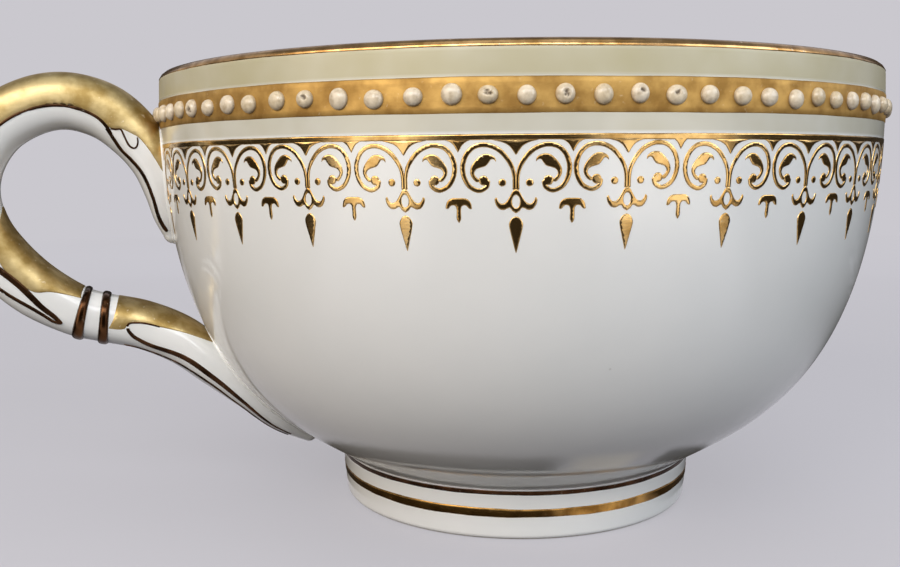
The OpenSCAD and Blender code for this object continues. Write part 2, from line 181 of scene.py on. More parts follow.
wall_top = (floor_radius + sweep_radius, wall_height)
floor_profile = [(floor_opening, 0), (floor_radius / 2, 0), *sweep, wall_top]
floor = make_piece("studio_floor", *revolve(floor_profile[::-1], floor_turns), floor_paint, closed=False)


# Studio light. Soft boxes stand on either side of the camera, over it, behind the cup and overhead, and a
# dim even sky fills the shadows. Dark and glowing strips on the floor all round, and low ones close to the
# foot, are painted reflections: only the bright metal and the glaze mirror them, and they neither light nor
# shade the cup.
def aim(thing, azimuth, elevation, distance):
    """Places a lamp or panel at an azimuth counted as the camera's are, facing the cup."""
    a, e = math.radians(azimuth), math.radians(elevation)
    back = Vector((math.sin(a) * math.cos(e), -math.cos(a) * math.cos(e), math.sin(e)))
    thing.location = back * distance * MM + Vector((0, 0, cup_middle * MM))
    thing.rotation_euler = back.to_track_quat("Z", "Y").to_euler()


def soft_box(name, azimuth, elevation, distance, size, power, tint):
    """A rectangular area light aimed at the cup."""
    light = bpy.data.lights.new(name, "AREA")
    light.shape = "RECTANGLE"
    light.size, light.size_y = size[0] * MM, size[1] * MM
    light.energy = power
    light.color = srgb(tint)[:3]
    lamp = bpy.data.objects.new(name, light)
    bpy.context.scene.collection.objects.link(lamp)
    aim(lamp, azimuth, elevation, distance)
    return lamp


cup_middle = 30
lamp_range = 520
top_lamp_range = 560
cool_white = "#f6f9ff"
soft_box("left_soft_box", -62, 24, lamp_range, (460, 280), 1.4, "#ffeeda")
soft_box("right_soft_box", 50, 24, lamp_range, (380, 280), 0.95, cool_white)
soft_box("front_soft_box", -20, 31, lamp_range, (600, 200), 1.65, cool_white)
back_box = soft_box("back_soft_box", 165, 26, lamp_range, (760, 240), 1.5, "#f8f9ff")
# Kept out of reflections, so that the rim shows no white edge.
back_box.visible_glossy = False
soft_box("top_soft_box", -20, 75, top_lamp_range, (420, 420), 0.45, cool_white)
sky = bpy.data.worlds.new("studio_sky")
sky.use_nodes = True
tree = sky.node_tree
tree.nodes.clear()
path = add(tree, "LightPath", out=None).outputs
dim = add(tree, "Background", {"Color": srgb("#d6d8dc"), "Strength": 0.4})
backdrop = add(tree, "Background", {"Color": srgb("#cac8ce")})
air = add(tree, "MixShader", {0: path["Is Camera Ray"], 1: dim, 2: backdrop})
add(tree, "OutputWorld", {"Surface": air}, out=None)
bpy.context.scene.world = sky


def reflection_strip(name, first, last, near, far, top, colour, strength):
    """A painted reflection: a dark or glowing strip between two azimuths that lies on the floor from a near
    to a far radius and may turn up there. It fades out at its sides and where it ends on the floor. Only
    reflections show it, and it neither lights nor shades the cup."""
    strip_paint, tree = new_material(name + "_cloth")
    dense = add(tree, "Attribute", out="Fac", attribute_name="dense")
    gap = add(tree, "BsdfTransparent")
    reflected_glow = add(tree, "Emission", {"Color": srgb(colour), "Strength": strength})
    reflection_mix = add(tree, "MixShader", {0: dense, 1: gap, 2: reflected_glow})
    add(tree, "OutputMaterial", {"Surface": reflection_mix}, out=None)
    turns = np.linspace(first, last, strip_columns)
    line = [(r, strip_level) for r in np.linspace(near, far, strip_rows)] + [(far, top)] * (top > 0)
    points, density = [], []
    for r, z in line:
        ends = (r - near) / near, 1 if top else (far - r) / end_fade
        for turn in turns:
            points.append((r * math.sin(math.radians(turn)), -r * math.cos(math.radians(turn)), z))
            fades = [min(t, 1) for t in ((turn - first) / side_fade, (last - turn) / side_fade, *ends)]
            density.append(math.prod(t * t * (3 - 2 * t) for t in fades))
    faces = grid_faces(len(line), len(turns))
    strip = make_piece(name, points, faces, strip_paint, closed=False, marks={"dense": density})
    for rays in ("camera", "diffuse", "shadow", "transmission"):
        setattr(strip, "visible_" + rays, False)


strip_level = 1.8
strip_rows = 21
strip_columns = 41
side_fade = 9
end_fade = 3
strip_end = 300
strip_top = 62
foot_strip_end = 30
# Painted reflections: dim dark strips put dark patches in the gold and glaze, and glowing white strips put
# painted highlights and glints there.
painted_dark_reflection = ("#6a6258", 0.3)
painted_bright_reflection = ("#fff6ea", 1.7)
painted_foot_glint = ("#fff6ea", 0.8)
reflection_strip("front_dark_reflection", -46, 5, 60, strip_end, strip_top, *painted_dark_reflection)
reflection_strip("left_dark_reflection", -160, -66, 50, strip_end, strip_top, *painted_dark_reflection)
reflection_strip("right_dark_reflection", 36, 150, 50, strip_end, strip_top, *painted_dark_reflection)
reflection_strip("back_dark_reflection", 100, 220, 150, strip_end, 170, *painted_dark_reflection)
reflection_strip("left_bright_reflection", -72, -40, 105, strip_end, strip_top, *painted_bright_reflection)
reflection_strip("right_bright_reflection", -1, 40, 105, strip_end, strip_top, *painted_bright_reflection)
# Low strips round the foot paint the dark reflection and the glint on the foot's broad gold line.
reflection_strip("foot_left_dark_reflection", -125, -2, 12, foot_strip_end, 0, *painted_dark_reflection)
reflection_strip("foot_glint_reflection", -6, 24, 12, foot_strip_end, 0, *painted_foot_glint)
reflection_strip("foot_right_dark_reflection", 28, 125, 12, foot_strip_end, 0, *painted_dark_reflection)

# Bowl. White porcelain, thrown and turned, with a rounded lip and a skirt that runs in to the foot.
# It is dipped in a clear feldspar glaze and fired, which leaves a glassy skin with a slow ripple.
bowl_low, bowl_high = (np.array(corner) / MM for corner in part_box("bowl"))
cup_r = bowl_high[0]
cup_h = bowl_high[2]
foot_h = bowl_low[2]
foot_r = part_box("foot_slip_joint")[1][0] / MM
wall = 2.2
shoulder_drop = 4.8
rim_tuck = 0.14
belly_pull = 35
heel_pull = 8.5
skirt_slope = math.radians(38)
skirt_lap = 0.15
inner_pull = 24.8
floor_pull = 19.8
floor_flat_r = 14
floor_t = 3
shoulder_z = cup_h - shoulder_drop
rim_r = cup_r - rim_tuck
lip_r = wall / 2
lip_centre = (rim_r - lip_r, cup_h - lip_r)
bowl_turns = 256


def cubic(poles, steps):
    """Points along the cubic curve with four poles."""
    t = np.linspace(0, 1, steps + 1)[:, None]
    a, b, c, d = (np.array(p, float) for p in poles)
    return (1 - t) ** 3 * a + 3 * t * (1 - t) ** 2 * b + 3 * t * t * (1 - t) * c + t ** 3 * d


def arc(centre, radius, start, end, steps):
    """Points along an arc, with its angles in degrees."""
    a = np.radians(np.linspace(start, end, steps + 1))
    return np.stack([centre[0] + radius * np.cos(a), centre[1] + radius * np.sin(a)], -1)


skirt_r = foot_r + skirt_lap
heel = (skirt_r + heel_pull * math.cos(skirt_slope), foot_h + heel_pull * math.sin(skirt_slope))
outer_curve = cubic([(cup_r, shoulder_z), (cup_r, shoulder_z - belly_pull), heel, (skirt_r, foot_h)], 90)
floor_z = foot_h + floor_t
inner_curve = cubic(
    [(cup_r - wall, shoulder_z), (cup_r - wall, shoulder_z - inner_pull),
     (floor_flat_r + floor_pull, floor_z), (floor_flat_r, floor_z)], 70)
lip = arc(lip_centre, lip_r, 0, 180, 14)
wall_line = np.concatenate([outer_curve[::-1], lip[:1], [(rim_r, cup_h)]])


def wall_r(z):
    """Radius of the bowl's outside at a height."""
    return np.interp(z, wall_line[:, 1], wall_line[:, 0])


def glazed_porcelain(name, ivory=(), bare_below=None):
    """Clear glaze over white porcelain: a glassy skin with a slow ripple, faint clouding, rare kiln
    specks and dulled rubs. Each row of ivory is a painted ground: its lower edge, the height where it is
    full, its strength and how far it dulls the glaze. The foot is bare of glaze below a height."""
    material, tree = new_material(name)
    place = add(tree, "TexCoord", out="Object")
    height = add(tree, "SeparateXYZ", {0: place}, out="Z")
    cloud = add(tree, "TexNoise", {"Vector": place, "Scale": 1 / (11 * MM), "Detail": 3})
    white = {0: cloud, 6: srgb("#eaedec"), 7: srgb("#f4f5f3")}
    colour = add(tree, "Mix", white, out=2, data_type="RGBA")
    rub = add(tree, "TexNoise", {"Vector": place, "Scale": 1 / (3 * MM), "Detail": 6})
    gloss = add(tree, "MapRange", {0: rub, 1: 0.35, 2: 0.75, 3: 0.08, 4: 0.13})
    if ivory:
        # The ground is brushed on outside the lip only, thicker and thinner in patches of 5 mm.
        level = add(tree, "VectorMath", {0: place, 1: (1, 1, 0)}, operation="MULTIPLY")
        radius = add(tree, "VectorMath", {0: level}, out="Value", operation="LENGTH")
        outside = add(tree, "Math", {0: radius, 1: lip_centre[0] * MM}, operation="GREATER_THAN")
        brushed = add(tree, "TexNoise", {"Vector": place, "Scale": 1 / (5 * MM), "Detail": 2})
        coat = add(tree, "MapRange", {0: brushed, 1: 0.3, 2: 0.7, 3: 0.8, 4: 1.06})
        coat = add(tree, "Math", {0: coat, 1: outside}, operation="MULTIPLY")
    for low, high, strength, dull in ivory:
        ground = add(tree, "MapRange", {0: height, 1: low * MM, 2: high * MM, 3: 0, 4: strength})
        ground = add(tree, "Math", {0: ground, 1: coat}, operation="MULTIPLY")
        tint = {0: ground, 6: colour, 7: srgb("#b6af8c")}
        colour = add(tree, "Mix", tint, out=2, data_type="RGBA")
        gloss = add(tree, "Math", {0: ground, 1: dull, 2: gloss}, operation="MULTIPLY_ADD")
    # One kiln speck about 0.3 mm across falls in a few of the 5 mm cells.
    cells = add(tree, "TexVoronoi", {"Vector": place, "Scale": 1 / (5 * MM)}, out=None).outputs
    near = add(tree, "MapRange", {0: cells["Distance"], 1: 0.035, 2: 0.015, 3: 0, 4: 0.2})
    pick = add(tree, "SeparateColor", {0: cells["Color"]})
    rare = add(tree, "Math", {0: pick, 1: 0.86}, operation="GREATER_THAN")
    speck = add(tree, "Math", {0: near, 1: rare}, operation="MULTIPLY")
    spotted = {0: speck, 6: colour, 7: srgb("#6b5f52")}
    colour = add(tree, "Mix", spotted, out=2, data_type="RGBA")
    if bare_below is not None:
        bare = add(tree, "MapRange", {0: height, 1: bare_below * MM, 2: bare_below * MM * 0.6, 3: 0, 4: 1})
        dry = {0: bare, 6: colour, 7: srgb("#cfc6b8")}
        colour = add(tree, "Mix", dry, out=2, data_type="RGBA")
        gloss = add(tree, "Math", {0: bare, 1: 0.5, 2: gloss}, operation="MULTIPLY_ADD")
    ripple = add(tree, "TexNoise", {"Vector": place, "Scale": 1 / (8 * MM), "Detail": 2})
    normal = add(tree, "Bump", {"Height": ripple, "Strength": 0.12, "Distance": 0.4 * MM})
    glaze = {"Base Color": colour, "Roughness": gloss, "IOR": 1.52, "Normal": normal}
    skin = add(tree, "BsdfPrincipled", glaze)
    add(tree, "OutputMaterial", {"Surface": skin}, out=None)
    return material


band_drop = 3.4
band_h = 3.3
border_drop = 8.5
border_line_h = 0.48
band_top = cup_h - band_drop
band_bottom = band_top - band_h
border_top = cup_h - border_drop
ground_fade = 0.3
ivory_ground = [
    (border_top, border_top + ground_fade, 0.6, 0.1), (band_top, band_top + ground_fade, 0.9, 0.24)]
bowl_glaze = glazed_porcelain("glazed_porcelain_bowl", ivory_ground)
bowl_floor = [(floor_flat_r / 2, floor_z), (0, floor_z)]
recess_r = foot_r - 6
bowl_profile = [(0, foot_h), (recess_r, foot_h), *outer_curve[::-1], *lip, *inner_curve, *bowl_floor]
bowl = make_piece("bowl", *revolve(bowl_profile, bowl_turns), bowl_glaze)
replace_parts(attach(bowl, "root"), "bowl")

# Foot ring. The same porcelain, turned as a ring with a slight draft and luted under the bowl.
# Its standing edge is wiped clean of glaze before firing, so it stays bare and dry.
foot_w = 3.6
foot_taper = 0.5
foot_round = 0.7
bare_edge = 0.3
slip_t = 0.2
foot_top = foot_h - slip_t
foot_inner_r = foot_r - foot_taper - foot_w


def foot_outer_r(z):
    """Radius of the foot's outside at a height."""
    return foot_r - foot_taper * (1 - z / foot_top)


foot_profile = np.concatenate([
    [(foot_inner_r, foot_top)],
    arc((foot_inner_r + foot_round, foot_round), foot_round, 180, 270, 8),
    arc((foot_outer_r(foot_round) - foot_round, foot_round), foot_round, 270, 360, 8),
    [(foot_outer_r(z), z) for z in np.linspace(foot_round, foot_top, 8)[1:]],
    [(foot_inner_r, foot_top)],
])
foot_glaze = glazed_porcelain("glazed_porcelain_foot", bare_below=bare_edge)
foot = make_piece("foot_ring", *revolve(foot_profile, bowl_turns), foot_glaze)
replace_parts(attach(foot, "root"), "foot_ring")

# Handle. The same porcelain, slip-cast as one loop whose roots run out as leaf tongues on the bowl.
# Each row is how far the middle stands off, its height as a share of the bowl's, and the section's
# thickness and width as shares of those at the top of the arch.
handle_t = 6.7
handle_w = 7
handle_reach = 21.8
handle_square = 2.6
upper_root = [
    (0, 0.604, 0.36, 0.5), (0.1, 0.648, 0.54, 0.86), (0.3, 0.71, 0.66, 1.12),
    (1, 0.785, 0.84, 1.2), (2.9, 0.848, 0.94, 1.12), (6.1, 0.905, 1, 1.05),
]
loop_rows = [
    (0.472, 0.931, 1, 1), (0.66, 0.918, 1, 0.98), (0.844, 0.869, 1, 0.96), (0.963, 0.792, 1, 0.95),
    (1, 0.706, 1, 0.95), (0.954, 0.62, 1, 0.95), (0.844, 0.543, 1, 0.96), (0.688, 0.473, 0.98, 0.98),
    (0.49, 0.418, 0.9, 1), (0.339, 0.396, 0.87, 1.02), (0.128, 0.372, 0.87, 1.12),
]
lower_root = [
    (3.6, 0.327, 0.86, 1.32), (1.7, 0.262, 0.78, 1.46), (0.7, 0.188, 0.62, 1.42),
    (0.5, 0.116, 0.54, 1.14), (0.4, 0.062, 0.36, 0.62),
]
bowl_h = cup_h - foot_h


def handle_row(stand_off, share, thick, wide, free):
    """Middle, half thickness and half width of a row of the handle. A free row stands off in shares of
    the reach, from the widest part of the bowl, and the rest in millimetres from the wall."""
    z = foot_h + bowl_h * share
    x = -cup_r - handle_reach * stand_off if free else -wall_r(z) - stand_off
    return x, z, handle_t / 2 * thick, handle_w / 2 * wide


handle_rows = np.array(
    [handle_row(*row, False) for row in upper_root]
    + [handle_row(*row, True) for row in loop_rows]
    + [handle_row(*row, False) for row in lower_root])
last_row = len(handle_rows) - 1


def through(rows, s):
    """Values at s, counted in rows, on a smooth curve through a list of rows."""
    rows, s = np.asarray(rows, float), np.asarray(s, float)
    top = len(rows) - 1
    i = np.clip(np.floor(s).astype(int), 0, top - 1)
    t = (s - i)[..., None]
    a, b, c, d = (rows[np.clip(i + k, 0, top)] for k in (-1, 0, 1, 2))
    return b + 0.5 * t * (c - a + t * (2 * a - 5 * b + 4 * c - d + t * (3 * (b - c) + d - a)))


def squared(value):
    """Bends a sine or cosine so that it draws the handle's squarish section."""
    return np.sign(value) * np.abs(value) ** (2 / handle_square)


section_angles = np.linspace(0, 2 * np.pi, 1441)
section_line = np.stack([squared(np.cos(section_angles)), squared(np.sin(section_angles))], -1)
section_steps = np.linalg.norm(np.diff(section_line, axis=0), axis=1)
section_turns = 360 * np.concatenate([[0], np.cumsum(section_steps)]) / section_steps.sum()


def handle_skin(s, turn, lift=0.0):
    """Points on the handle at s along the loop and at a turn round it. Equal steps of turn are equal
    lengths of skin: 90 degrees is the outside of the loop, 180 its -Y side and 270 the inside."""
    s, turn = np.broadcast_arrays(np.asarray(s, float), np.asarray(turn, float))
    angle = np.interp(turn % 360, section_turns, section_angles)
    row = through(handle_rows, s)
    near = 1 / 24
    after = through(handle_rows, np.clip(s + near, 0, last_row))
    before = through(handle_rows, np.clip(s - near, 0, last_row))
    along = (after - before)[..., :2]
    along = along / np.linalg.norm(along, axis=-1, keepdims=True)
    out = (row[..., 2] + lift) * squared(np.sin(angle))
    side = (row[..., 3] + lift) * squared(np.cos(angle))
    return np.stack([row[..., 0] + along[..., 1] * out, side, row[..., 1] - along[..., 0] * out], -1)


def under_wall(points, depth):
    """Points that lie inside the bowl's outside, brought up to just under its surface."""
    points = np.array(points, float)
    r = np.hypot(points[..., 0], points[..., 1])
    wanted = np.maximum(r, wall_r(points[..., 2]) - depth)
    points[..., :2] *= (wanted / np.maximum(r, 1e-6))[..., None]
    return points


handle_rings = 12 * last_row + 1
handle_sides = 72
tip_length = 1.3
tip_bends = np.radians([80, 60, 40, 20])
root_depth = 0.4
ring_s = np.linspace(0, last_row, handle_rings)
side_turns = np.arange(handle_sides) * 360 / handle_sides
rings = handle_skin(ring_s[:, None], side_turns[None, :])


def rounded_tip(ring, next_ring):
    """Rings that close the end of the handle like the tip of a finger, from the tip inwards."""
    middle = ring.mean(0)
    out = middle - next_ring.mean(0)
    out = out / np.linalg.norm(out) * tip_length
    return np.array([middle + out * math.sin(b) + (ring - middle) * math.cos(b) for b in tip_bends])


rings = np.concatenate([
    rounded_tip(rings[0], rings[1]), rings, rounded_tip(rings[-1], rings[-2])[::-1]])
handle_points = under_wall(rings, root_depth).reshape(-1, 3)
handle_faces = grid_faces(len(rings), handle_sides, wrap_columns=True)
end_ring = tuple(range(handle_sides))
handle_faces += [end_ring[::-1], tuple(len(handle_points) - handle_sides + k for k in end_ring)]
handle_glaze = glazed_porcelain("glazed_porcelain_handle")
handle = make_piece("handle", handle_points, handle_faces, handle_glaze)
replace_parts(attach(handle, "root"), "handle")

# Slip joints. Thin porcelain slip lutes the foot and both handle roots to the bowl. What squeezes out
# is wiped to a small fillet with a finger, and the glaze runs over it and softens it.
foot_fillet = 1.1
skirt_fillet = 0.25
slip_lap = 0.3
slip_rise = 0.1
fillet_curve = arc((foot_inner_r - foot_fillet, foot_h - foot_fillet), foot_fillet, 90, 0, 8)
foot_slip_profile = [
    *fillet_curve, (foot_inner_r + slip_lap, foot_h - foot_fillet),
    (foot_inner_r + slip_lap, foot_h - slip_t / 2), (foot_r - slip_lap, foot_h - slip_t / 2),
    (foot_r - slip_lap, foot_top - skirt_fillet), (foot_r, foot_top - 0.05),
    (foot_r + skirt_fillet / 2, foot_h - 0.02), (foot_r, foot_h + slip_rise),
    (foot_inner_r - foot_fillet, foot_h + slip_rise),
]
foot_slip_profile.append(foot_slip_profile[0])
slip_glaze = glazed_porcelain("glazed_slip")
foot_slip = make_piece("foot_slip_joint", *revolve(foot_slip_profile, bowl_turns), slip_glaze)
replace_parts(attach(foot_slip, "root"), "foot_slip_joint")


def seam_points(rows, start_turn, end_turn):
    """Points down the -Y side of a root where the handle's skin meets the wall, row by row."""
    turns = np.linspace(start_turn, end_turn, 361)
    seam = []
    for s in rows:
        line = handle_skin(s, turns)
        proud = np.hypot(line[:, 0], line[:, 1]) - wall_r(line[:, 2])
        crossing = np.flatnonzero((proud[:-1] < 0) != (proud[1:] < 0))
        if len(crossing):
            k = crossing[0]
            t = proud[k] / (proud[k] - proud[k + 1])
            seam.append(line[k] + t * (line[k + 1] - line[k]))
    return np.array(seam)


def slip_fillet(name, rows, start_turn, end_turn, radius):
    """A soft bead of slip round a root: along both sides, and round the tip in a half circle."""
    near = seam_points(rows, start_turn, end_turn)
    far = near[::-1] * (1, -1, 1)
    half_width = near[-1][1]
    out = near[-1] - near[-2]
    out = out / np.linalg.norm(out) * tip_length
    bends = np.radians(np.arange(15, 180, 15))[:, None]
    middle = near[-1] * (1, 0, 1)
    tip = middle + np.array([0, half_width, 0]) * np.cos(bends) + out * (1, 0, 1) * np.sin(bends)
    line = np.concatenate([near, tip, far])
    line[:, :2] *= (wall_r(line[:, 2]) / np.hypot(line[:, 0], line[:, 1]))[:, None]
    along = np.roll(line, -1, axis=0) - np.roll(line, 1, axis=0)
    along /= np.linalg.norm(along, axis=1, keepdims=True)
    outward = line * (1, 1, 0)
    outward -= along * (outward * along).sum(1, keepdims=True)
    outward /= np.linalg.norm(outward, axis=1, keepdims=True)
    across = np.cross(along, outward)
    spin = np.radians(np.arange(0, 360, 30))[None, :, None]
    tube = line[:, None] + radius * (outward[:, None] * np.cos(spin) + across[:, None] * np.sin(spin))
    faces = grid_faces(len(line), spin.shape[1], wrap_rows=True, wrap_columns=True)
    fillet = make_piece(name, tube.reshape(-1, 3), faces, slip_glaze)
    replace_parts(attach(fillet, "root"), name)


upper_rows = np.arange(3.7, -0.01, -0.1)
slip_fillet("upper_slip_joint", upper_rows, 90, 180, 0.28)
lower_rows = np.arange(17.2, last_row + 0.01, 0.1)
slip_fillet("lower_slip_joint", lower_rows, 270, 180, 0.34)


# Rim line. Gold brushed round the lip over the fired glaze, fired again and rubbed bright with agate.
# Lips and fingers have worn it, so it drifts from bright to brown and its lower edge wavers.
def fired_gold(name, bright, deep, gloss, wear):
    """Burnished gold on glaze: warm metal whose tone and shine drift with the thickness of the coat, with
    faint brush drag and rubbed spots where the pale ground shows through."""
    material, tree = new_material(name)
    place = add(tree, "TexCoord", out="Object")
    coat = add(tree, "TexNoise", {"Vector": place, "Scale": 1 / (2.2 * MM), "Detail": 4})
    thick = add(tree, "MapRange", {0: coat, 1: 0.35, 2: 0.65, 3: 0, 4: 1})
    tones = {0: thick, 6: srgb(deep), 7: srgb(bright)}
    tone = add(tree, "Mix", tones, out=2, data_type="RGBA")
    rub = add(tree, "TexNoise", {"Vector": place, "Scale": 1 / (0.5 * MM), "Detail": 3})
    bare = add(tree, "MapRange", {0: rub, 1: 0.66, 2: 0.76, 3: 0, 4: wear})
    worn = {0: bare, 6: tone, 7: srgb("#e6dcc4")}
    colour = add(tree, "Mix", worn, out=2, data_type="RGBA")
    metal = add(tree, "Math", {0: 1.0, 1: bare}, operation="SUBTRACT")
    shine = add(tree, "MapRange", {0: coat, 1: 0.3, 2: 0.7, 3: gloss[1], 4: gloss[0]})
    drag = add(tree, "Mapping", {"Vector": place, "Scale": (1, 1, 5)})
    hairs = add(tree, "TexNoise", {"Vector": drag, "Scale": 1 / (0.9 * MM), "Detail": 2})
    normal = add(tree, "Bump", {"Height": hairs, "Strength": 0.2, "Distance": 0.05 * MM})
    leaf = {"Base Color": colour, "Metallic": metal, "Roughness": shine, "Normal": normal}
    skin = add(tree, "BsdfPrincipled", leaf)
    add(tree, "OutputMaterial", {"Surface": skin}, out=None)
    return material


gild_t = 0.06
gild_sink = 0.02
gild_root = 0.05


def gilt_ring(name, skin, low, high, waver, seed, material):
    """A gold line brushed round the cup between two levels of a skin, with edges that waver by hand.
    The skin gives r and z at a level and a lift."""
    draws = np.random.default_rng(seed)
    turns = 720
    spin = np.arange(turns) * 2 * np.pi / turns
    swing = [
        sum(waver / n * np.sin(k * spin + draws.uniform(0, 2 * np.pi)) for n, k in enumerate((5, 13, 31), 1))
        for _ in range(2)]
    low_edge, high_edge = low + swing[0], high + swing[1]
    edge = min(0.1, (high - low) / 4)
    inner = np.linspace(0, 1, 7)[None, :]
    levels = (low_edge + edge)[:, None] * (1 - inner) + (high_edge - edge)[:, None] * inner
    levels = np.concatenate([
        low_edge[:, None], levels, high_edge[:, None], levels[:, -1:], levels[:, :1]], axis=1)
    lifts = np.array([-gild_sink, *[gild_t] * inner.size, -gild_sink, -gild_root, -gild_root])
    r, z = skin(levels, lifts[None, :])
    points = np.stack([r * np.cos(spin)[:, None], r * np.sin(spin)[:, None], z], -1).reshape(-1, 3)
    faces = grid_faces(turns, lifts.size, wrap_rows=True, wrap_columns=True)
    ring = make_piece(name, points, faces, material)
    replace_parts(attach(ring, "root"), name)


def on_lip(level, lift):
    """Radius and height on the lip at a length along its round, counted from its outer side."""
    angle = level / lip_r
    return lip_centre[0] + (lip_r + lift) * np.cos(angle), lip_centre[1] + (lip_r + lift) * np.sin(angle)


def on_bowl(level, lift):
    """Radius and height on the bowl's outside at a height."""
    return wall_r(level) + lift, level


rim_gold = fired_gold("worn_rim_gold", "#d2ab76", "#94703f", (0.17, 0.26), 0.4)
rim_start = lip_r * math.radians(16)
rim_end = lip_r * math.radians(153)
gilt_ring("gilt_rim_line", on_lip, rim_start, rim_end, 0.03, 11, rim_gold)

# Bead band. A broad band of the same fired gold, laid on with the cup turning on a wheel.
# It is left satin, so it reads as an even gold, with a little wear where fingers turn the cup.
band_gold = fired_gold("satin_band_gold", "#b99758", "#93723d", (0.55, 0.65), 0.2)
gilt_ring("gilt_bead_band", on_bowl, band_bottom, band_top, 0.03, 12, band_gold)

# Beads. Drops of cream enamel set on the gold one by one with a fine stick and fired hard.
# Each is a little different, grime sits round its foot and in its chips, painted shade darkens its lower
# side, and some have lost a chip from the crown.
bead_count = 84
bead_r = 0.95
bead_h = 0.75
bead_phase = math.radians(182.9)
bead_turns = 32
bead_sink = 0.02
bead_wander = 0.08
bead_rise = 0.07
front_angle = 250
drift_from_front = [-110, -46, -33, -12, 30, 60, 110]
drift_degrees = [0, -1.8, -1.5, 0, 0, -0.7, 0]
chipped_front = {5, 10, 15, 17, 19, 20}
chip_share = 0.04
nick_count = 3
pit_depth = 0.25
grime_and_shade_share = 0.55
grime_and_shade_height = 0.42
bead_draws = np.random.default_rng(7)
bead_points, bead_faces, bead_grime_and_shade, bead_tone = [], [], [], []
dome = np.radians(np.linspace(0, 90, 14))
dome_shape = [(math.cos(t) ** 0.85, max(math.sin(t), 0) ** 0.92) for t in dome]
dome_shape[-1] = (0, 1)
for k in range(bead_count):
    nominal = bead_phase + 2 * math.pi * k / bead_count
    from_front = (math.degrees(nominal) - front_angle + 180) % 360 - 180
    drift = math.radians(np.interp(from_front, drift_from_front, drift_degrees))
    angle = nominal + drift + bead_draws.normal(0, bead_wander) / cup_r
    z = (band_top + band_bottom) / 2 + bead_draws.normal(0, bead_rise)
    size = bead_r * bead_draws.uniform(0.92, 1.06)
    tall = bead_h * bead_draws.uniform(0.9, 1.06)
    squash = bead_draws.uniform(0.95, 1.05)
    tone = bead_draws.uniform(0, 1)
    nicks = bead_draws.uniform(-0.3, 0.3, 2) + bead_draws.uniform(-0.18, 0.18, (nick_count, 2))
    nick_half = bead_draws.uniform(0.08, 0.24, (nick_count, 2)) * size
    chipped = bead_draws.uniform() < chip_share or k in chipped_front
    points, faces = revolve([(r * size, h * tall) for r, h in [(1.02, -0.15), *dome_shape]], bead_turns)
    points = np.array(points)
    pits = np.exp(-(((points[:, None, :2] - nicks * size) / nick_half) ** 2).sum(-1))
    pit = pits.max(1) * chipped
    pit *= points[:, 2] > tall * 0.2
    points[:, 2] -= pit * pit_depth
    seat = wall_r(z) + gild_t - bead_sink
    out = np.array([math.cos(angle), math.sin(angle), 0])
    side = np.array([-math.sin(angle), math.cos(angle), 0])
    placed = (
        out * (seat + points[:, 2:]) + side * points[:, :1] * squash
        + np.array([0, 0, 1]) * (z + points[:, 1:2] / squash))
    start = len(bead_points)
    bead_points += list(placed)
    bead_faces += [[start + i for i in face] for face in faces]
    bead_faces.append([start + i for i in range(bead_turns)][::-1])
    # Grime sits round the foot, and painted shade darkens the lower side more.
    foot_grime_and_shade = grime_and_shade_share * np.clip(1 - points[:, 2] / (grime_and_shade_height * tall), 0, 1)
    foot_grime_and_shade *= 1 - 0.6 * points[:, 1] / size
    bead_grime_and_shade += list(np.clip(foot_grime_and_shade + pit, 0, 1))
    bead_tone += [tone] * len(points)

enamel, tree = new_material("fired_cream_enamel")
place = add(tree, "TexCoord", out="Object")
tone = add(tree, "Attribute", out="Fac", attribute_name="tone")
cream = {0: tone, 6: srgb("#d8c7a6"), 7: srgb("#e9dcc5")}
colour = add(tree, "Mix", cream, out=2, data_type="RGBA")
stain = add(tree, "TexNoise", {"Vector": place, "Scale": 1 / (0.6 * MM), "Detail": 3})
stained = add(tree, "MapRange", {0: stain, 1: 0.45, 2: 0.75, 3: 0, 4: 0.6})
tea = {0: stained, 6: colour, 7: srgb("#a48c66")}
colour = add(tree, "Mix", tea, out=2, data_type="RGBA")
grime_and_shade = add(tree, "Attribute", out="Fac", attribute_name="grime_and_shade")
# Dark brown of grime round the foot and in the chips, and of painted shade on the lower side.
dirt_and_shade = {0: grime_and_shade, 6: colour, 7: srgb("#46331f")}
colour = add(tree, "Mix", dirt_and_shade, out=2, data_type="RGBA")
gloss = add(tree, "MapRange", {0: grime_and_shade, 1: 0, 2: 1, 3: 0.16, 4: 0.6})
grain = add(tree, "TexNoise", {"Vector": place, "Scale": 1 / (0.25 * MM), "Detail": 2})
normal = add(tree, "Bump", {"Height": grain, "Strength": 0.25, "Distance": 0.04 * MM})
drop = {"Base Color": colour, "Roughness": gloss, "IOR": 1.55, "Normal": normal}
skin = add(tree, "BsdfPrincipled", drop)
add(tree, "OutputMaterial", {"Surface": skin}, out=None)
bead_marks = {"grime_and_shade": bead_grime_and_shade, "tone": bead_tone}
beads = make_piece("enamel_beads", bead_points, bead_faces, enamel, marks=bead_marks)
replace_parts(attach(beads, "root"), "enamel_beads")

# Border line. A thin gold line, laid on the wheel like the band, from which the hand-drawn scrolls hang.
# It is burnished to a mirror, and so are the ornaments under it.
border_gold = fired_gold("burnished_border_gold", "#dab97e", "#ab8850", (0.1, 0.2), 0.4)
border_z = border_top - border_line_h
line_lap = 0.14
gilt_ring("gilt_border_line", on_bowl, border_z - line_lap, border_top, 0.02, 13, border_gold)


# Darts. Small gold triangles with hollow sides that hang from the border line between the scrolls,
# a long one over each motif and a short one between two motifs, filled in with a brush.
def smooth_line(rows, steps=6):
    """Points along a smooth line through a few rows."""
    return through(rows, np.linspace(0, len(rows) - 1, steps * (len(rows) - 1) + 1))


